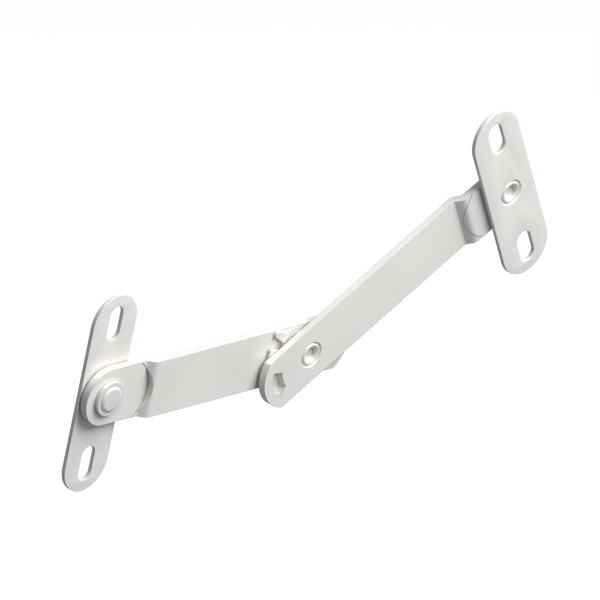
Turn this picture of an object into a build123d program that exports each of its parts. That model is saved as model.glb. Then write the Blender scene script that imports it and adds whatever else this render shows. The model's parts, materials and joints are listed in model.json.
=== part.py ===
from build123d import *

import os
from math import asin, atan2, cos, degrees, hypot, radians, sin, sqrt

# Folding lid stay: two joggled flat arms riveted at an elbow, with a slotted mounting plate riveted to each
# outer end. Millimetres, +Z up. The origin is on the frame pivot's axis, in the mounting face of the frame
# plate. The stay lies in layers along Y: the frame plate is at the back (y = 0), the lid plate in front.

# Linkage
pivot_pitch = 80.0  # between the pivots of either arm
open_angle = 150.0  # between the arms when the stop tab meets the stop lug

# Arms
arm_sheet = 2.3
arm_width = 17.8
free_end_reach = 19.5  # from the elbow to the tip beyond it
free_end_radius = 11.0
joggle = 2.3  # how far an arm's riveted end stands out from its run
bend_radius = 0.4  # inside radius of both bends of the joggle
bend_angle = 45.0
bend_distance = 15.8  # from the end pivot to the middle of the joggle
seat_radius = 10.9  # rounded edge of the coined seat around the end pivot
seat_edge_distance = 16.6  # from the end pivot to that edge
seat_step = 0.12

# Mounting plates
plate_sheet = 1.3
plate_width = 18.0
slot_pitch = 45.0
slot_length = 11.0
slot_width = 5.4

# Rivets
shank_diameter = 6.0
running_clearance = 0.05  # radial, between a shank and the holes it passes
head_base_diameter = 8.5
head_top_diameter = 6.6
head_height = 0.55
countersink_width = 1.05  # radial, and as deep
tail_crest_width = 0.3
tail_roll_depth = 0.4  # from the crest of the rolled tail down to its feet
tail_hole_diameter = 4.1
tail_hole_depth = 1.3

# Washers
head_washer_diameter = 10.8
head_washer_thickness = 1.3
end_spacer_diameter = 14.0
end_spacer_thickness = 0.6
elbow_spacer_diameter = 16.0
elbow_spacer_thickness = 1.1

# Pressed stops: a tab in the lid arm's free end meets a lug on the frame arm
stop_lug_length = 3.9  # measured away from the elbow
pocket_length = 4.1  # measured away from the elbow
pocket_half_angle = 13.4  # half of the pocket's inner edge, about the elbow
pocket_flank_angle = 35.0  # between a flank and the arm's centre line
pocket_rim = 3.4  # sheet left between the pocket and the free end's edge
pocket_depth = 1.6
pocket_fillet = 0.9
die_clearance = 0.3  # the tab is this much smaller all round than its pocket
stop_gap = 0.15  # left between tab and lug at the open angle
lug_clearance = 0.1  # left between a lug and the facing arm
lug_corner_radius = 0.75
lug_edge_break = 0.12
rest_lug_width = 2.6
rest_lug_length = 5.6
rest_lug_distance = 9.6  # along the arm, from the elbow to the middle of its inner end
rest_lug_drop = 3.25  # of that point, below the arm's edge
rest_lug_slant = 34.0  # to the arm's centre line
lug_recess_inset = 0.5
lug_recess_depth = 0.8

# What follows from the sizes above
stop_inner_radius = free_end_reach - pocket_rim - pocket_length  # about the elbow, of pocket and lug
stop_outer_radius = stop_inner_radius + stop_lug_length
lug_height = elbow_spacer_thickness - lug_clearance
hole_radius = shank_diameter / 2 + running_clearance
end_stack = arm_sheet + end_spacer_thickness + plate_sheet
elbow_stack = 2 * arm_sheet + elbow_spacer_thickness
frame_arm_inner_y = -(plate_sheet + end_spacer_thickness + arm_sheet + joggle)
lid_arm_inner_y = frame_arm_inner_y - elbow_spacer_thickness
lid_arm_end_back_y = lid_arm_inner_y - joggle
lid_plate_back_y = lid_arm_end_back_y - arm_sheet - end_spacer_thickness
lid_arm_lift = 180 - open_angle  # of the lid arm above the frame arm's line
elbow_x = pivot_pitch
lid_pivot_x = elbow_x + pivot_pitch * cos(radians(lid_arm_lift))
lid_pivot_z = pivot_pitch * sin(radians(lid_arm_lift))
clear_of_all = 2 * (pivot_pitch + free_end_reach + arm_width)  # longer than any piece


def prism(plan, low_y, high_y):
    """A solid over a plan drawn in X and Z, from low_y to high_y."""
    return Pos(0, high_y, 0) * extrude(Plane.XZ * plan, high_y - low_y)


def disc_plan(radius, x=0.0):
    return Pos(x, 0) * Circle(radius)


# --- Arms ---------------------------------------------------------------------------------------------
# An arm is drawn with its elbow pivot on the Y axis, its end pivot along +X and its inner face, the one
# towards the other arm, at y = 0. Its outer face and its joggle are on the -Y side.


def arm_outline():
    """Full round at the riveted end, a flatter arc with sharp corners at the free end."""
    half = arm_width / 2
    corner_x = -free_end_reach + free_end_radius - sqrt(free_end_radius**2 - half**2)
    top = Line((corner_x, half), (pivot_pitch, half))
    riveted_end = ThreePointArc((pivot_pitch, half), (pivot_pitch + half, 0), (pivot_pitch, -half))
    bottom = Line((pivot_pitch, -half), (corner_x, -half))
    free_end = ThreePointArc((corner_x, -half), (-free_end_reach, 0), (corner_x, half))
    return make_face([top, riveted_end, bottom, free_end])


def joggle_run():
    """Length of the straight riser between the two bends, and of the whole joggle along the arm."""
    middle_radius = bend_radius + arm_sheet / 2
    offset = joggle - seat_step
    turn = radians(bend_angle)
    riser = (offset - 2 * middle_radius * (1 - cos(turn))) / sin(turn)
    return riser, 2 * middle_radius * sin(turn) + riser * cos(turn)


def bent_face(start_y, first_radius, second_radius):
    """One face of the bent sheet as a chain of edges, from the free end to the riveted end."""
    riser_length, run_length = joggle_run()
    bend_x = pivot_pitch - bend_distance - run_length / 2
    run = Line((-clear_of_all, start_y), (bend_x, start_y))
    first_bend = JernArc(run @ 1, run % 1, first_radius, -bend_angle)
    riser = Line(first_bend @ 1, first_bend @ 1 + riser_length * (first_bend % 1))
    second_bend = JernArc(riser @ 1, riser % 1, second_radius, bend_angle)
    end = Line(second_bend @ 1, (clear_of_all, (second_bend @ 1).Y))
    return [run, first_bend, riser, second_bend, end]


def bent_sheet():
    inner = bent_face(0, bend_radius + arm_sheet, bend_radius)
    outer = bent_face(-arm_sheet, bend_radius, bend_radius + arm_sheet)
    ends = [Line(inner[0] @ 0, outer[0] @ 0), Line(inner[-1] @ 1, outer[-1] @ 1)]
    return extrude(make_face(inner + outer + ends), clear_of_all, both=True)


def seat_plan():
    """The coined seat: everything on the riveted side of a rounded edge."""
    centre_x = pivot_pitch - seat_edge_distance + seat_radius
    beyond = Pos(centre_x + clear_of_all / 2, 0) * Rectangle(clear_of_all, 2 * seat_radius)
    return disc_plan(seat_radius, centre_x) + beyond


def arm_blank():
    """Bent strip with its seat pushed out by a small step, flat on the inner side, and both pivot holes."""
    outline = prism(arm_outline(), -clear_of_all, clear_of_all)
    seat = prism(seat_plan(), -clear_of_all, clear_of_all)
    strip = bent_sheet() & outline
    arm = strip + (Pos(0, -seat_step, 0) * strip & seat)
    arm -= prism(seat_plan(), -joggle, clear_of_all)
    holes = disc_plan(hole_radius) + disc_plan(hole_radius, pivot_pitch)
    return arm - prism(holes, -clear_of_all, clear_of_all)


# --- Pressed stops ------------------------------------------------------------------------------------


def pocket_corner(centre_x, radius, inset):
    """Where the upper flank, moved in by inset, crosses a circle about a point of the centre line."""
    angle = radians(pocket_flank_angle)
    offset = stop_inner_radius * sin(radians(pocket_half_angle) - angle) - inset + centre_x * sin(angle)
    along = sqrt(radius**2 - offset**2)
    return centre_x + along * cos(angle) - offset * sin(angle), along * sin(angle) + offset * cos(angle)


def two_arc_plan(inner_corner, inner_tip, outer_corner, outer_tip):
    """A plan between two arcs, the same on both sides of the X axis, from its upper corners."""
    inner = ThreePointArc((inner_corner[0], -inner_corner[1]), (inner_tip, 0), inner_corner)
    outer = ThreePointArc((outer_corner[0], -outer_corner[1]), (outer_tip, 0), outer_corner)
    return make_face([inner, Line(inner @ 1, outer @ 1), outer, Line(outer @ 0, inner @ 0)])


def pocket_arcs(inset):
    """Inner radius about the elbow, and centre and radius of the outer arc, which follows the free end."""
    centre_x = free_end_reach - free_end_radius
    return stop_inner_radius + inset, centre_x, free_end_radius - pocket_rim - inset


def pocket_plan(inset):
    """The pocket, or moved in by inset the stop tab behind it, turned to lie in the free end."""
    inner_radius, centre_x, outer_radius = pocket_arcs(inset)
    inner_corner = pocket_corner(0, inner_radius, inset)
    outer_corner = pocket_corner(centre_x, outer_radius, inset)
    return Rot(0, 0, 180) * two_arc_plan(
        inner_corner, inner_radius, outer_corner, centre_x + outer_radius
    )


def tab_reach_angle():
    """How far about the elbow the tab's rounded outer corner reaches from the arm's centre line."""
    inset = die_clearance + lug_corner_radius
    _, centre_x, outer_radius = pocket_arcs(inset)
    x, z = pocket_corner(centre_x, outer_radius, inset)
    return degrees(atan2(z, x) + asin(lug_corner_radius / hypot(x, z)))


def stop_lug_plan(inset):
    """A piece of a ring that takes what the tab and the stop gap leave beside the arm's centre line."""
    half_angle = lid_arm_lift - tab_reach_angle() - degrees((stop_gap + inset) / stop_outer_radius)
    direction = (cos(radians(half_angle)), sin(radians(half_angle)))
    inner = stop_inner_radius + inset
    outer = stop_outer_radius - inset
    corners = [(radius * direction[0], radius * direction[1]) for radius in (inner, outer)]
    return two_arc_plan(corners[0], inner, corners[1], outer)


def rest_lug_plan(inset):
    """A short bar that runs out to the arm's edge and ends flush with it."""
    start = Pos(rest_lug_distance, arm_width / 2 - rest_lug_drop)
    bar = Rectangle(rest_lug_length - 2 * inset, rest_lug_width - 2 * inset)
    bar = start * Rot(0, 0, rest_lug_slant) * Pos(rest_lug_length / 2, 0) * bar
    return bar & Rectangle(clear_of_all, arm_width - 2 * inset)


def raised(plan):
    """A lug or tab standing out of the inner face, with rounded corners and a broken rim."""
    lug = prism(plan, -lug_height, lug_height)
    lug = fillet(lug.edges().filter_by(Axis.Y), lug_corner_radius)
    return chamfer(lug.faces().sort_by(Axis.Y)[-1].edges(), lug_edge_break)


def make_frame_arm():
    arm = arm_blank()
    for plan in (stop_lug_plan, rest_lug_plan):
        arm += raised(plan(0))
        arm -= prism(plan(lug_recess_inset), -2 * arm_sheet, lug_recess_depth - arm_sheet)
    return arm


def make_pocket():
    """The tool that presses the pocket: its floor runs in a round into the inner wall and the flanks."""
    pocket = prism(pocket_plan(0), -2 * arm_sheet, pocket_depth - arm_sheet)
    rim = pocket.faces().sort_by(Axis.Y)[-1].edges()
    outer = rim.filter_by(GeomType.CIRCLE).sort_by(Axis.X)[0]
    return fillet([edge for edge in rim if edge != outer], pocket_fillet)


def make_lid_arm():
    arm = arm_blank() + raised(pocket_plan(die_clearance)) - make_pocket()
    return arm - Pos(0, -arm_sheet, 0) * countersink()


# --- Plates, washers and rivets -----------------------------------------------------------------------


def countersink():
    """Cut for a rivet's tail, its mouth at y = 0, opening towards -Y."""
    mouth = hole_radius + countersink_width
    cone = Cone(mouth, hole_radius, countersink_width, align=(Align.CENTER, Align.CENTER, Align.MIN))
    return Rot(-90, 0, 0) * cone


def make_plate():
    """Slotted plate in X and Z, long along Z. Its outer face, with the countersink, is at y = 0."""
    outline = SlotCenterToCenter(slot_pitch, plate_width, rotation=90)
    slot = SlotOverall(slot_length, slot_width, rotation=90)
    for z in (-slot_pitch / 2, slot_pitch / 2):
        outline -= Pos(0, z) * slot
    outline -= disc_plan(hole_radius)
    return prism(outline, 0, plate_sheet) - countersink()


def make_washer(diameter, thickness):
    """Flat ring from y = 0 to y = thickness."""
    return prism(disc_plan(diameter / 2) - disc_plan(hole_radius), 0, thickness)


def make_rivet(grip):
    """Tubular rivet along Y: its rolled tail crests at y = 0 and its head bears at y = grip."""
    shank = shank_diameter / 2
    foot = shank + countersink_width - tail_roll_depth
    hole = tail_hole_diameter / 2
    section = Polyline(
        (0, tail_hole_depth),
        (hole, tail_hole_depth),
        (hole, tail_roll_depth),
        (shank - tail_crest_width / 2, 0),
        (shank + tail_crest_width / 2, 0),
        (foot, tail_roll_depth),
        (shank, countersink_width),
        (shank, grip),
        (head_base_diameter / 2, grip),
        (head_top_diameter / 2, grip + head_height),
        (0, grip + head_height),
        close=True,
    )
    return revolve(make_face(section), Axis.Y)


# --- Assembly -----------------------------------------------------------------------------------------


def at_frame_pivot(y, facing_front=False):
    return Pos(0, y, 0) * Rot(0, 0, 180 if facing_front else 0)


def at_elbow(y):
    return Pos(elbow_x, y, 0)


def at_lid_pivot(y):
    return Pos(lid_pivot_x, y, lid_pivot_z) * Rot(0, -lid_arm_lift, 0)


def make_parts():
    end_grip = end_stack + head_washer_thickness
    elbow_grip = elbow_stack + head_washer_thickness
    elbow_front_y = lid_arm_inner_y - arm_sheet
    lid_plate_front_y = lid_plate_back_y - plate_sheet
    end_spacer = make_washer(end_spacer_diameter, end_spacer_thickness)
    head_washer = make_washer(head_washer_diameter, head_washer_thickness)
    plate = make_plate()
    end_rivet = make_rivet(end_grip)
    return {
        "frame_plate": at_frame_pivot(0, True) * plate,
        "frame_rivet": at_frame_pivot(0, True) * end_rivet,
        "frame_spacer": at_frame_pivot(-plate_sheet, True) * end_spacer,
        "frame_head_washer": at_frame_pivot(-end_stack, True) * head_washer,
        "frame_arm": at_elbow(frame_arm_inner_y) * Rot(0, 0, 180) * make_frame_arm(),
        "elbow_spacer": at_elbow(lid_arm_inner_y)
        * make_washer(elbow_spacer_diameter, elbow_spacer_thickness),
        "elbow_rivet": at_elbow(elbow_front_y) * make_rivet(elbow_grip),
        "elbow_head_washer": at_elbow(frame_arm_inner_y + arm_sheet) * head_washer,
        "lid_arm": at_elbow(lid_arm_inner_y) * Rot(0, -lid_arm_lift, 0) * make_lid_arm(),
        "lid_plate": at_lid_pivot(lid_plate_front_y) * plate,
        "lid_rivet": at_lid_pivot(lid_plate_front_y) * end_rivet,
        "lid_spacer": at_lid_pivot(lid_plate_back_y) * end_spacer,
        "lid_head_washer": at_lid_pivot(lid_arm_end_back_y) * head_washer,
    }


os.makedirs("parts", exist_ok=True)
for name, solid in make_parts().items():
    export_step(solid, f"parts/{name}.step")
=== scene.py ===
"""Folding lid stay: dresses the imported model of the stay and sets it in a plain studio.

The stay is two joggled steel arms riveted at an elbow, with a slotted mounting plate riveted to each outer
end. Lengths are metres, +Z is up and the mounting face of the frame plate lies in the plane y = 0. The arms
are carried over and dressed. The plates, rivets and washers are remade here with broken edges, which a
sharp-edged solid lacks.
"""

from __future__ import annotations

import json
import logging
import math
from dataclasses import dataclass
from enum import Enum

import bmesh
import bpy
import numpy as np
from mathutils import Matrix, Vector
from mathutils.geometry import tessellate_polygon

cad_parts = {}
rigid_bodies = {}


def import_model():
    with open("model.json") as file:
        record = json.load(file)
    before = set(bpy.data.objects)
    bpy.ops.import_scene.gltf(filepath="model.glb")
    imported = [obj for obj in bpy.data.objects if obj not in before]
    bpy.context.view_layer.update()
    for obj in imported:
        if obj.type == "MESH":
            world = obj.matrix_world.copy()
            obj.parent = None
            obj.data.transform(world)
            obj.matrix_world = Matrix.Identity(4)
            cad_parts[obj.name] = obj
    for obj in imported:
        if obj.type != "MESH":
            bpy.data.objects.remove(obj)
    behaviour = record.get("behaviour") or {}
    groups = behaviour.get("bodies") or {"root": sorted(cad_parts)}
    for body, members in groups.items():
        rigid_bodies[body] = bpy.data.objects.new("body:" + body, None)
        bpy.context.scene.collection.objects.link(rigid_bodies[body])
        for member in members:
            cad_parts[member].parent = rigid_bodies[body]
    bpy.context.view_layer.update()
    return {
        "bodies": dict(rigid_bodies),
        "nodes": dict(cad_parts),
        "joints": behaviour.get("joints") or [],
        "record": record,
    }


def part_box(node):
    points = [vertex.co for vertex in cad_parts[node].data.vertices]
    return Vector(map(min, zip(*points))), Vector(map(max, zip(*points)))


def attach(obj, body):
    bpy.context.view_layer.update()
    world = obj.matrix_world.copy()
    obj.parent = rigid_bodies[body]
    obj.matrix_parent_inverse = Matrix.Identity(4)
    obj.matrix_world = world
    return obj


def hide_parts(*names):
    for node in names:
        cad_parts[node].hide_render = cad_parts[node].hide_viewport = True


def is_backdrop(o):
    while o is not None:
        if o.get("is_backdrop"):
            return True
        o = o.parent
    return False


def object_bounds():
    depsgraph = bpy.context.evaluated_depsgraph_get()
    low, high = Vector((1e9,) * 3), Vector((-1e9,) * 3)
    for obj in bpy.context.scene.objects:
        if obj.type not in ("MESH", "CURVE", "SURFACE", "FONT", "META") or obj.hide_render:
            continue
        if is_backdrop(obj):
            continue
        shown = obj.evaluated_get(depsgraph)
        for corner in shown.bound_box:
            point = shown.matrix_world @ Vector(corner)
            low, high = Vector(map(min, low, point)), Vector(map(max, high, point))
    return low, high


log = logging.getLogger("lid_stay")

MM = 0.001
# Reach and strength of the shade painted into the seams between pieces, found by ambient occlusion.
PAINTED_SHADE_REACH = 0.5 * MM
PAINTED_SHADE_DARKNESS = 0.8
ARRIS_DARKNESS = 0.9
BUMP_STRENGTH = 0.2
MERGE_DISTANCE = 1e-7
FLAT_COSINE = 0.9999
CREASE_DEGREES = 32.0
Triple = tuple[float, float, float]
Socket = bpy.types.NodeSocket


class Side(Enum):
    """Which way a face of the stay looks: to the frame it is screwed to, or to the lid."""

    FRAME = 1.0
    LID = -1.0


# --- Materials ----------------------------------------------------------------------------------------


class Graph:
    """A material's node tree, with one short call for each node."""

    def __init__(self, name: str) -> None:
        """Starts an empty material.

        Args:
            name: the material's name.
        """
        self.material = bpy.data.materials.new(name)
        self.material.use_nodes = True
        self.tree = self.material.node_tree
        self.tree.nodes.clear()

    def add(self, kind: str, inputs: dict[str | int, object], **settings: object) -> bpy.types.Node:
        """Adds a node and wires or sets its inputs.

        Args:
            kind: the node's class name without "ShaderNode".
            inputs: input name or index to an output socket, or to a plain value.
            settings: attributes of the node itself, set before its inputs.

        Returns:
            The new node.
        """
        node = self.tree.nodes.new("ShaderNode" + kind)
        for attribute, value in settings.items():
            setattr(node, attribute, value)
        for key, value in inputs.items():
            if isinstance(value, Socket):
                self.tree.links.new(value, node.inputs[key])
            else:
                node.inputs[key].default_value = value
        return node

    def math(self, operation: str, first: object, second: object = 0.0) -> Socket:
        """Returns the output of a Math node."""
        return self.add("Math", {0: first, 1: second}, operation=operation).outputs[0]

    def ramp(self, value: object, low: float, high: float, first: float = 0.0, last: float = 1.0) -> Socket:
        """Returns value carried from low..high to first..last, and held at both ends."""
        return self.add("MapRange", {0: value, 1: low, 2: high, 3: first, 4: last}).outputs[0]

    def noise(self, where: Socket, scale: float, detail: float = 2.0) -> Socket:
        """Returns a noise between 0 and 1 with so many features to the metre."""
        return self.add("TexNoise", {"Vector": where, "Scale": scale, "Detail": detail}).outputs["Fac"]

    def blend(self, amount: object, first: object, second: object) -> Socket:
        """Returns a mix of two colours, each a socket or a triple."""
        node = self.tree.nodes.new("ShaderNodeMix")
        node.data_type = "RGBA"
        for key, value in ((0, amount), (6, first), (7, second)):
            if isinstance(value, Socket):
                self.tree.links.new(value, node.inputs[key])
            else:
                node.inputs[key].default_value = (*value, 1.0) if key else value
        return node.outputs[2]

    def arrises(self, radius: float) -> tuple[Socket, Socket]:
        """Finds the edges of a piece.

        The mask grows with the angle between the surface's normal and the same normal averaged over a small
        ball, which differ only near an edge.

        Args:
            radius: the ball's radius.

        Returns:
            The averaged normal, and the mask from 0 on a face to 1 on an arris.
        """
        rounded = self.add("Bevel", {"Radius": radius}, samples=8).outputs[0]
        flat = self.add("NewGeometry", {}).outputs["Normal"]
        turn = self.add("VectorMath", {0: rounded, 1: flat}, operation="DOT_PRODUCT").outputs["Value"]
        return rounded, self.ramp(turn, 0.985, 0.88)

    def painted_crevice_shade(self, reach: float) -> Socket:
        """Returns a mask of painted shade from ambient occlusion: 1 deep in the seams between pieces, where
        shade falls, and 0 in the open.
        """
        open_share = self.add("AmbientOcclusion", {"Distance": reach}, samples=8).outputs["AO"]
        return self.ramp(open_share, 0.75, 0.25)

    def painted_shade_and_dark_arrises(self, colour: Socket, dark_arris_and_shade: Triple, edges: Socket) -> Socket:
        """Paints shade into a colour in the seams between pieces, and darkens it along the arrises.

        Args:
            colour: the clean colour.
            dark_arris_and_shade: the dark colour.
            edges: mask of the arrises.

        Returns:
            The darkened colour.
        """
        # Painted shade: where ambient occlusion finds a seam between pieces, the colour is blended towards
        # the dark colour.
        colour = self.blend(self.ramp(self.painted_crevice_shade(PAINTED_SHADE_REACH), 0.0, 1.0, 0.0, PAINTED_SHADE_DARKNESS), colour, dark_arris_and_shade)
        return self.blend(self.math("MULTIPLY", edges, ARRIS_DARKNESS), colour, dark_arris_and_shade)

    def close(
        self, colour: Socket, metallic: float, rough: Socket, height: Socket, depth: float, rounded: Socket
    ) -> bpy.types.Material:
        """Ends the tree in one surface.

        Args:
            colour: its colour.
            metallic: its metallic share.
            rough: its roughness.
            height: height of its bump, from 0 to 1.
            depth: depth of the bump in metres.
            rounded: the normal that the bump sits on.

        Returns:
            The material.
        """
        bump = {"Strength": BUMP_STRENGTH, "Distance": depth, "Height": height, "Normal": rounded}
        surface = {
            "Base Color": colour,
            "Metallic": metallic,
            "Roughness": rough,
            "Normal": self.add("Bump", bump).outputs[0],
        }
        self.add("OutputMaterial", {"Surface": self.add("BsdfPrincipled", surface).outputs[0]})
        return self.material


@dataclass(frozen=True)
class PlatedStrip:
    """Zinc-plated strip steel: clouded grey with fine rolling lines, dark sheared arrises and painted shade
    in the seams between pieces.
    """

    name: str
    lean_degrees: float = 0.0
    body: Triple = (0.70, 0.685, 0.668)
    cloud: Triple = (0.64, 0.626, 0.61)
    # Dark colour of the arrises, also used for the shade painted into the seams between pieces.
    dark_arris_and_shade: Triple = (0.045, 0.043, 0.041)
    metallic: float = 0.2
    roughness: float = 0.45
    edge_radius: float = 0.2 * MM

    def build(self) -> bpy.types.Material:
        """Makes the material.

        The rolling lines are a noise stretched thirty times along the strip, which leans from +X. Broad
        clouds shift the plating's colour and gloss, and a fine grain breaks the gloss up.

        Returns:
            The material.
        """
        g = Graph(self.name)
        where = g.add("TexCoord", {}).outputs["Object"]
        lean = (0.0, math.radians(self.lean_degrees), 0.0)
        along = g.add("Mapping", {"Vector": where, "Rotation": lean}).outputs[0]
        stretched = g.add("Mapping", {"Vector": along, "Scale": (0.033, 1.0, 1.0)}).outputs[0]
        lines = g.noise(stretched, 3200.0, 3.0)
        clouds = g.noise(where, 60.0, 4.0)
        grain = g.noise(where, 4200.0)
        rounded, edges = g.arrises(self.edge_radius)
        colour = g.blend(g.ramp(clouds, 0.35, 0.7), self.body, self.cloud)
        colour = g.blend(g.ramp(lines, 0.3, 0.75, 0.0, 0.35), colour, self.cloud)
        # Painted shade in the seams between pieces, and dark arrises.
        colour = g.painted_shade_and_dark_arrises(colour, self.dark_arris_and_shade, edges)
        rough = g.math("ADD", g.ramp(clouds, 0.3, 0.7, -0.05, 0.05), self.roughness)
        rough = g.math("ADD", rough, g.ramp(grain, 0.3, 0.7, -0.04, 0.04))
        height = g.math("ADD", g.math("MULTIPLY", lines, 0.7), g.math("MULTIPLY", grain, 0.3))
        return g.close(colour, self.metallic, rough, height, 0.02 * MM, rounded)


@dataclass(frozen=True)
class TurnedSteel:
    """Plated rivet and washer steel, with faint rings about its own axis, dark arrises and painted shade in
    the seams between pieces.
    """

    name: str
    centre: Triple
    body: Triple = (0.69, 0.676, 0.66)
    ring: Triple = (0.60, 0.588, 0.575)
    # Dark colour of the arrises, also used for the shade painted into the seams between pieces.
    dark_arris_and_shade: Triple = (0.045, 0.043, 0.041)
    metallic: float = 0.25
    roughness: float = 0.4
    edge_radius: float = 0.17 * MM

    def build(self) -> bpy.types.Material:
        """Makes the material.

        The rings are a noise of the distance from the axis alone, which runs along Y through the centre.

        Returns:
            The material.
        """
        g = Graph(self.name)
        where = g.add("TexCoord", {}).outputs["Object"]
        from_axis = (-self.centre[0], 0.0, -self.centre[2])
        flat = {"Vector": where, "Location": from_axis, "Scale": (1.0, 0.0, 1.0)}
        middle = g.add("Mapping", flat, vector_type="POINT").outputs[0]
        distance = g.add("VectorMath", {0: middle}, operation="LENGTH").outputs["Value"]
        radial = g.add("CombineXYZ", {0: distance}).outputs[0]
        rings = g.noise(radial, 5200.0, 1.0)
        grain = g.noise(where, 3600.0)
        rounded, edges = g.arrises(self.edge_radius)
        colour = g.blend(g.ramp(rings, 0.3, 0.75), self.body, self.ring)
        # Painted shade in the seams between pieces, and dark arrises.
        colour = g.painted_shade_and_dark_arrises(colour, self.dark_arris_and_shade, edges)
        rough = g.math("ADD", g.ramp(grain, 0.3, 0.7, -0.06, 0.06), self.roughness)
        height = g.math("ADD", g.math("MULTIPLY", rings, 0.6), g.math("MULTIPLY", grain, 0.4))
        return g.close(colour, self.metallic, rough, height, 0.015 * MM, rounded)


# --- Surfaces -----------------------------------------------------------------------------------------


def open_profile(corners: np.ndarray, breaks: np.ndarray, steps: int = 5) -> np.ndarray:
    """Rounds the corners of a profile and keeps its two ends.

    A corner P becomes the curve (1 - t)^2 A + 2 t (1 - t) P + t^2 C, for t from 0 to 1, where A and C lie at
    the corner's break from P on its two sides.

    Args:
        corners: the profile's points, one a row.
        breaks: how far each corner is broken, 0 at both ends.
        steps: number of points on each curve.

    Returns:
        The rounded profile's points, without repeats.
    """
    before = np.diff(corners, axis=0, prepend=2 * corners[:1] - corners[1:2])
    after = np.roll(before, -1, axis=0)
    after[-1] = before[-1]
    before = before / np.linalg.norm(before, axis=1, keepdims=True)
    after = after / np.linalg.norm(after, axis=1, keepdims=True)
    start = (corners - before * breaks[:, None])[:, None]
    end = (corners + after * breaks[:, None])[:, None]
    t = np.linspace(0.0, 1.0, steps)[None, :, None]
    curve = (1 - t) ** 2 * start + 2 * t * (1 - t) * corners[:, None] + t**2 * end
    points = curve.reshape(-1, 2)
    fresh = np.linalg.norm(np.diff(points, axis=0), axis=1) > 1e-9
    return points[np.concatenate(([True], fresh))]


def band_faces(rows: int, columns: int, first: int = 0) -> np.ndarray:
    """Quads between neighbouring rows of a grid whose columns close into rings.

    Args:
        rows: number of rings.
        columns: number of points on each ring.
        first: index of the first point.

    Returns:
        Point indices, four to a face.
    """
    row, column = np.meshgrid(np.arange(rows - 1), np.arange(columns), indexing="ij")
    following = (column + 1) % columns
    here, there = row * columns, (row + 1) * columns
    quads = np.stack((here + column, there + column, there + following, here + following), axis=-1)
    return quads.reshape(-1, 4) + first


def close_mesh(name: str, points: np.ndarray, faces: list[list[int]]) -> bpy.types.Object:
    """Makes a closed piece whose faces point outwards, smooth between its creases.

    Args:
        name: the piece's name.
        points: its points, one a row.
        faces: point indices of each face.

    Returns:
        The new object, linked to the scene.
    """
    mesh = bpy.data.meshes.new(name)
    mesh.from_pydata(points.tolist(), [], faces)
    work = bmesh.new()
    work.from_mesh(mesh)
    bmesh.ops.remove_doubles(work, verts=work.verts, dist=MERGE_DISTANCE)
    bmesh.ops.recalc_face_normals(work, faces=work.faces)
    work.to_mesh(mesh)
    work.free()
    normals = np.zeros(len(mesh.polygons) * 3, np.float32)
    mesh.polygons.foreach_get("normal", normals)
    mesh.polygons.foreach_set("use_smooth", np.abs(normals.reshape(-1, 3)[:, 1]) < FLAT_COSINE)
    mesh.set_sharp_from_angle(angle=math.radians(CREASE_DEGREES))
    piece = bpy.data.objects.new(name, mesh)
    bpy.context.scene.collection.objects.link(piece)
    return piece


def node_middle(node: str) -> Vector:
    """Returns the centre of a node's box."""
    low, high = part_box(node)
    return (low + high) / 2


@dataclass
class NewPiece:
    """A piece made here that stands for a carried-over node."""

    node: str
    body: str
    slot: str
    finish: bpy.types.Material

    def settle(self, points: np.ndarray, faces: list[list[int]]) -> None:
        """Makes the piece from its points and puts it in its node's place.

        Args:
            points: its points, one a row.
            faces: point indices of each face.
        """
        piece = close_mesh(self.node + "_finished", points, faces)
        piece.data.materials.append(self.finish)
        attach(piece, self.body)
        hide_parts(self.node)
        log.info("%s: %d faces", piece.name, len(piece.data.polygons))


# --- Turned pieces ------------------------------------------------------------------------------------


@dataclass
class TurnedPiece(NewPiece):
    """A piece turned about an axis along Y."""

    segments: int = 96

    def revolve(self, profile: np.ndarray, start: float, direction: float) -> None:
        """Turns a profile into a piece and settles it.

        The point at distance r from the axis and depth d goes to the axis plus (r cos a, r sin a) in X and Z,
        at y = start + direction d, for every angle a.

        Args:
            profile: distance and depth, one point a row.
            start: where depth 0 lies along Y.
            direction: +1 or -1, the way that depth grows.
        """
        middle = node_middle(self.node)
        angle = np.arange(self.segments) * (2 * math.pi / self.segments)
        distance, depth = profile[:, :1], profile[:, 1:]
        x = middle.x + distance * np.cos(angle)
        z = middle.z + distance * np.sin(angle)
        y = start + direction * depth + 0.0 * angle
        points = np.stack((x, y, z), axis=-1).reshape(-1, 3)
        self.settle(points, band_faces(len(profile), self.segments).tolist())


@dataclass
class Washer(TurnedPiece):
    """A flat ring with tumbled edges."""

    bore_radius: float = 3.05 * MM
    edge_break: float = 0.12 * MM

    def make(self) -> None:
        """Makes the ring: its profile is a rectangle with broken corners, closed on itself."""
        low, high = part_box(self.node)
        bore, radius, thickness = self.bore_radius, (high.x - low.x) / 2, high.y - low.y
        middle = (bore + radius) / 2
        outside = [(middle, 0.0), (radius, 0.0), (radius, thickness)]
        inside = [(bore, thickness), (bore, 0.0), (middle, 0.0)]
        breaks = np.array([0.0, 1.0, 1.0, 0.6, 0.6, 0.0]) * min(self.edge_break, thickness * 0.3)
        self.revolve(open_profile(np.array(outside + inside), breaks), low.y, 1.0)


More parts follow.
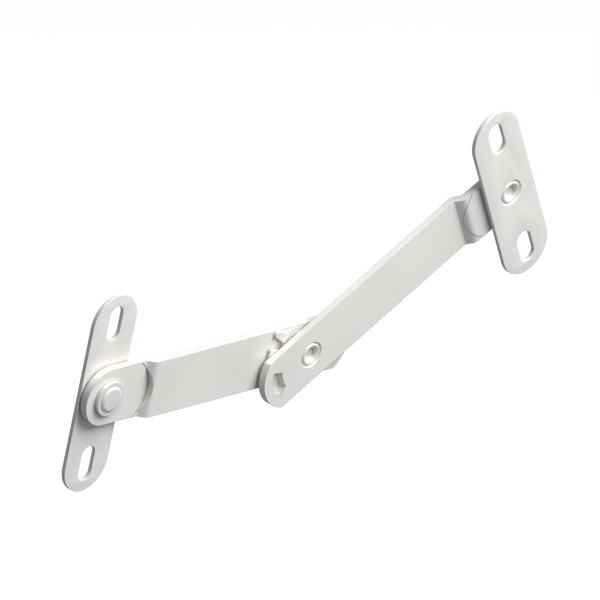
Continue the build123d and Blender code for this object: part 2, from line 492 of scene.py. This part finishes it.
@dataclass
class TubularRivet(TurnedPiece):
    """A rivet with a low coned head at one end and a rolled tail, set in a countersink, at the other."""

    tail: Side = Side.FRAME
    shank_radius: float = 3.0 * MM
    head_base_radius: float = 4.25 * MM
    head_top_radius: float = 3.3 * MM
    head_height: float = 0.55 * MM
    countersink: float = 1.05 * MM
    roll_depth: float = 0.4 * MM
    crest_width: float = 0.3 * MM
    hole_radius: float = 2.05 * MM
    hole_depth: float = 1.3 * MM

    def make(self) -> None:
        """Makes the rivet from the middle of its tail hole, over roll and shank, to the top of its head."""
        low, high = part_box(self.node)
        length = high.y - low.y
        seat = length - self.head_height
        foot = self.shank_radius + self.countersink - self.roll_depth
        crest = self.crest_width / 2
        tail_corners = [
            (0.0, self.hole_depth),
            (self.hole_radius, self.hole_depth),
            (self.hole_radius, self.roll_depth),
            (self.shank_radius - crest, 0.0),
            (self.shank_radius + crest, 0.0),
            (foot, self.roll_depth),
            (self.shank_radius, self.countersink),
        ]
        head_corners = [
            (self.shank_radius, seat),
            (self.head_base_radius, seat),
            (self.head_top_radius, length),
            (0.0, length),
        ]
        breaks = np.array([0.0, 0.25, 0.08, 0.08, 0.08, 0.05, 0.05, 0.0, 0.06, 0.12, 0.0]) * MM
        start = high.y if self.tail is Side.FRAME else low.y
        profile = open_profile(np.array(tail_corners + head_corners), breaks)
        self.revolve(profile, start, -self.tail.value)


# --- Plates -------------------------------------------------------------------------------------------


@dataclass(frozen=True)
class Border:
    """One border of a plate: a slot-shaped outline centred on the plate's long axis."""

    height: float
    radius: float
    half_straight: float
    outwards: float
    rim: np.ndarray
    steps: int = 40

    def rings(self) -> np.ndarray:
        """Carries the rim's profile round the outline.

        For each angle a the outline's point is radius (cos a, sin a), lifted by half the straight's length
        on the upper half and lowered by it on the lower half. The rim's inset moves it into the sheet.

        Returns:
            Rows of the rim by points of the outline by (across, along, depth).
        """
        half = np.linspace(0.0, math.pi, self.steps + 1)
        if self.half_straight == 0.0:
            half = half[:-1]
        angle = np.concatenate((half, half + math.pi))
        lift = np.repeat((self.half_straight, -self.half_straight), len(half))
        reach = self.radius + self.outwards * self.rim[:, :1]
        across = reach * np.cos(angle)
        along = reach * np.sin(angle) + lift + self.height
        depth = self.rim[:, 1:] + 0.0 * angle
        return np.stack((across, along, depth), axis=-1)


@dataclass
class MountingPlate(NewPiece):
    """A flat plate with round ends, a slot near each end and a countersunk rivet hole in the middle."""

    outside: Side = Side.FRAME
    lean_degrees: float = 0.0
    half_pitch: float = 22.5 * MM
    end_radius: float = 9.0 * MM
    slot_half_length: float = 5.5 * MM
    slot_radius: float = 2.7 * MM
    bore_radius: float = 3.05 * MM
    countersink: float = 1.05 * MM
    rolled_edge: float = 0.16 * MM
    crisp_edge: float = 0.07 * MM

    def punched_rim(self, thickness: float) -> np.ndarray:
        """Returns inset and depth over a punched edge, rolled on the outside and crisp on the inside."""
        deep = 2.0 * MM
        corners = np.array([(deep, 0.0), (0.0, 0.0), (0.0, thickness), (deep, thickness)])
        return open_profile(corners, np.array([0.0, self.rolled_edge, self.crisp_edge, 0.0]))[1:-1]

    def countersunk_rim(self, thickness: float) -> np.ndarray:
        """Returns inset and depth over the rivet hole's edge, from its mouth to the inside."""
        deep, mouth = 4.0 * MM, self.countersink
        corners = np.array([(deep, 0.0), (mouth, 0.0), (0.0, mouth), (0.0, thickness), (deep, thickness)])
        return open_profile(corners, np.array([0.0, 0.08, 0.05, 0.07, 0.0]) * MM)[1:-1]

    def make(self) -> None:
        """Makes the plate: rims carried round every border, and flats filled in between them.

        A point at (across, along) the plate and a depth below its outside goes to the middle of the plate,
        turned by the plate's lean about Y.
        """
        low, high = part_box(self.node)
        middle = node_middle(self.node)
        thickness = high.y - low.y
        rim = self.punched_rim(thickness)
        straight = self.slot_half_length - self.slot_radius
        grids = [
            Border(0.0, self.end_radius, self.half_pitch, -1.0, rim).rings(),
            Border(self.half_pitch, self.slot_radius, straight, 1.0, rim).rings(),
            Border(-self.half_pitch, self.slot_radius, straight, 1.0, rim).rings(),
            Border(0.0, self.bore_radius, 0.0, 1.0, self.countersunk_rim(thickness)).rings(),
        ]
        firsts = np.cumsum([0] + [grid.shape[0] * grid.shape[1] for grid in grids]).tolist()
        faces: list[list[int]] = []
        for grid, first in zip(grids, firsts):
            faces += band_faces(grid.shape[0], grid.shape[1], first).tolist()
        for row in (0, -1):
            faces += self.flat_faces(grids, firsts, row)
        flat = np.concatenate([grid.reshape(-1, 3) for grid in grids])
        lean = math.radians(self.lean_degrees)
        x = middle.x + flat[:, 0] * math.cos(lean) - flat[:, 1] * math.sin(lean)
        z = middle.z + flat[:, 0] * math.sin(lean) + flat[:, 1] * math.cos(lean)
        outer = high.y if self.outside is Side.FRAME else low.y
        self.settle(np.stack((x, outer - self.outside.value * flat[:, 2], z), axis=-1), faces)

    @staticmethod
    def flat_faces(grids: list[np.ndarray], firsts: list[int], row: int) -> list[list[int]]:
        """Fills one flat of the plate between its borders.

        Args:
            grids: each border's rings, the outer one first.
            firsts: index of each border's first point.
            row: 0 for the outside flat and -1 for the inside one.

        Returns:
            Point indices of the flat's triangles.
        """
        numbers = np.concatenate(
            [
                first + (row % len(grid)) * grid.shape[1] + np.arange(grid.shape[1])
                for grid, first in zip(grids, firsts)
            ]
        )
        borders = [[Vector((across, along, 0.0)) for across, along, _ in grid[row]] for grid in grids]
        return numbers[np.array(tessellate_polygon(borders))].tolist()


# --- Studio -------------------------------------------------------------------------------------------


@dataclass
class Studio:
    """Plain floor, soft light and a parallel-view camera."""

    tilt_degrees: float = 15.0
    view_width: float = 172.95 * MM
    aim_right: float = -3.315 * MM
    aim_up: float = 15.825 * MM
    floor_drop: float = 0.30
    floor_reach: float = 6.0
    key_towards: Triple = (0.2, -0.5, 0.84)
    key_size: float = 1.4
    key_distance: float = 1.6
    key_power: float = 60.0
    sky: float = 0.30

    def elbow(self) -> Vector:
        """Returns the elbow's axis in the front face of the lid arm."""
        low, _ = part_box("elbow_rivet")
        middle = node_middle("elbow_rivet")
        return Vector((middle.x, low.y, middle.z))

    def make_camera(self) -> None:
        """Looks at the stay from the left, from above and from the front, all three alike.

        Left and above are taken after the stay is turned by the tilt, which levels its two plates.
        """
        tilt = math.radians(self.tilt_degrees)
        across = Vector((math.cos(tilt), 0.0, math.sin(tilt)))
        upright = Vector((-math.sin(tilt), 0.0, math.cos(tilt)))
        back = (upright - across - Vector((0.0, 1.0, 0.0))).normalized()
        up = (upright - back * upright.dot(back)).normalized()
        right = up.cross(back)
        data = bpy.data.cameras.new("camera")
        data.type = "ORTHO"
        data.ortho_scale = self.view_width
        data.clip_end = 10.0
        camera = bpy.data.objects.new("camera", data)
        bpy.context.scene.collection.objects.link(camera)
        centre = self.elbow() + right * self.aim_right + up * self.aim_up
        turn = Matrix((right, up, back)).transposed().to_4x4()
        camera.matrix_world = Matrix.Translation(centre + back) @ turn
        bpy.context.scene.camera = camera

    def make_light(self, name: str, towards: Triple, size: float, power: float, distance: float) -> None:
        """Adds one soft square light that looks at the stay.

        Args:
            name: the light's name.
            towards: direction from the stay to the light.
            size: side of the light.
            power: its power in watts.
            distance: how far off it stands.
        """
        data = bpy.data.lights.new(name, "AREA")
        data.size = size
        data.energy = power
        light = bpy.data.objects.new(name, data)
        bpy.context.scene.collection.objects.link(light)
        direction = Vector(towards).normalized()
        light.location = self.elbow() + direction * distance
        light.rotation_euler = direction.to_track_quat("Z", "Y").to_euler()

    def make_floor(self) -> None:
        """Lays a plain pale floor well below the stay, which throws no light back at it."""
        low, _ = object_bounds()
        level = low[2] - self.floor_drop
        corners = np.array([(-1.0, -1.0), (1.0, -1.0), (1.0, 1.0), (-1.0, 1.0)]) * self.floor_reach
        mesh = bpy.data.meshes.new("floor")
        mesh.from_pydata(np.column_stack((corners, np.full(4, level))).tolist(), [], [(0, 1, 2, 3)])
        floor = bpy.data.objects.new("floor", mesh)
        bpy.context.scene.collection.objects.link(floor)
        g = Graph("floor_paper")
        where = g.add("TexCoord", {}).outputs["Object"]
        tone = g.blend(g.noise(where, 3.0), (0.93, 0.93, 0.93), (0.95, 0.95, 0.95))
        surface = g.add("BsdfPrincipled", {"Base Color": tone, "Roughness": 0.9})
        g.add("OutputMaterial", {"Surface": surface.outputs[0]})
        mesh.materials.append(g.material)
        floor.visible_diffuse = False
        floor.visible_glossy = False
        floor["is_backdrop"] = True

    def build(self) -> None:
        """Builds the whole studio."""
        self.make_camera()
        self.make_floor()
        self.make_light("key", self.key_towards, self.key_size, self.key_power, self.key_distance)
        world = bpy.data.worlds.new("studio")
        world.use_nodes = True
        background = world.node_tree.nodes["Background"]
        background.inputs[0].default_value = (1.0, 1.0, 1.0, 1.0)
        background.inputs[1].default_value = self.sky
        scene = bpy.context.scene
        scene.world = world
        scene.view_settings.view_transform = "Standard"
        log.info("studio ready")


# --- The stay -----------------------------------------------------------------------------------------


@dataclass
class Stay:
    """The whole stay: which piece rides on which body, and what it is made of."""

    frame: dict
    lid_lean: float = 30.0

    def dress_arm(self, node: str, finish: bpy.types.Material) -> None:
        """Gives a carried-over arm its material."""
        arm = self.frame["nodes"][node]
        arm.data.materials.clear()
        arm.data.materials.append(finish)
        log.info("%s dressed with %s", node, finish.name)

    def make_pivot(self, name: str, body: str, tail: Side) -> None:
        """Makes the rivet, head washer and spacer of one pivot.

        Args:
            name: the pivot's name, which its nodes start with.
            body: the body that they ride on.
            tail: which way the rivet's tail looks.
        """
        steel = TurnedSteel(name + "_turned_steel", tuple(node_middle(name + "_rivet"))).build()
        TubularRivet(name + "_rivet", body, "rivet_steel", steel, tail=tail).make()
        for washer in ("_head_washer", "_spacer"):
            Washer(name + washer, body, "washer_steel", steel).make()

    def make_plate(self, name: str, body: str, outside: Side, lean: float) -> None:
        """Makes one mounting plate, whose strip runs along its slots."""
        strip = PlatedStrip(name + "_strip", lean_degrees=lean + 90.0).build()
        plate = MountingPlate(name, body, "plated_sheet", strip, outside=outside, lean_degrees=lean)
        plate.make()

    def build(self) -> None:
        """Builds and dresses every piece."""
        self.dress_arm("frame_arm", PlatedStrip("frame_arm_strip").build())
        self.dress_arm("lid_arm", PlatedStrip("lid_arm_strip", lean_degrees=self.lid_lean).build())
        self.make_plate("frame_plate", "frame_side", Side.FRAME, 0.0)
        self.make_plate("lid_plate", "lid_side", Side.LID, self.lid_lean)
        self.make_pivot("frame", "frame_side", Side.FRAME)
        self.make_pivot("elbow", "lid_side_arm", Side.LID)
        self.make_pivot("lid", "lid_side", Side.LID)


def main() -> None:
    """Builds the stay and its studio."""
    logging.basicConfig(level=logging.INFO, format="%(name)s: %(message)s")
    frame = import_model()
    Studio().build()
    Stay(frame).build()


if __name__ == "__main__":
    main()
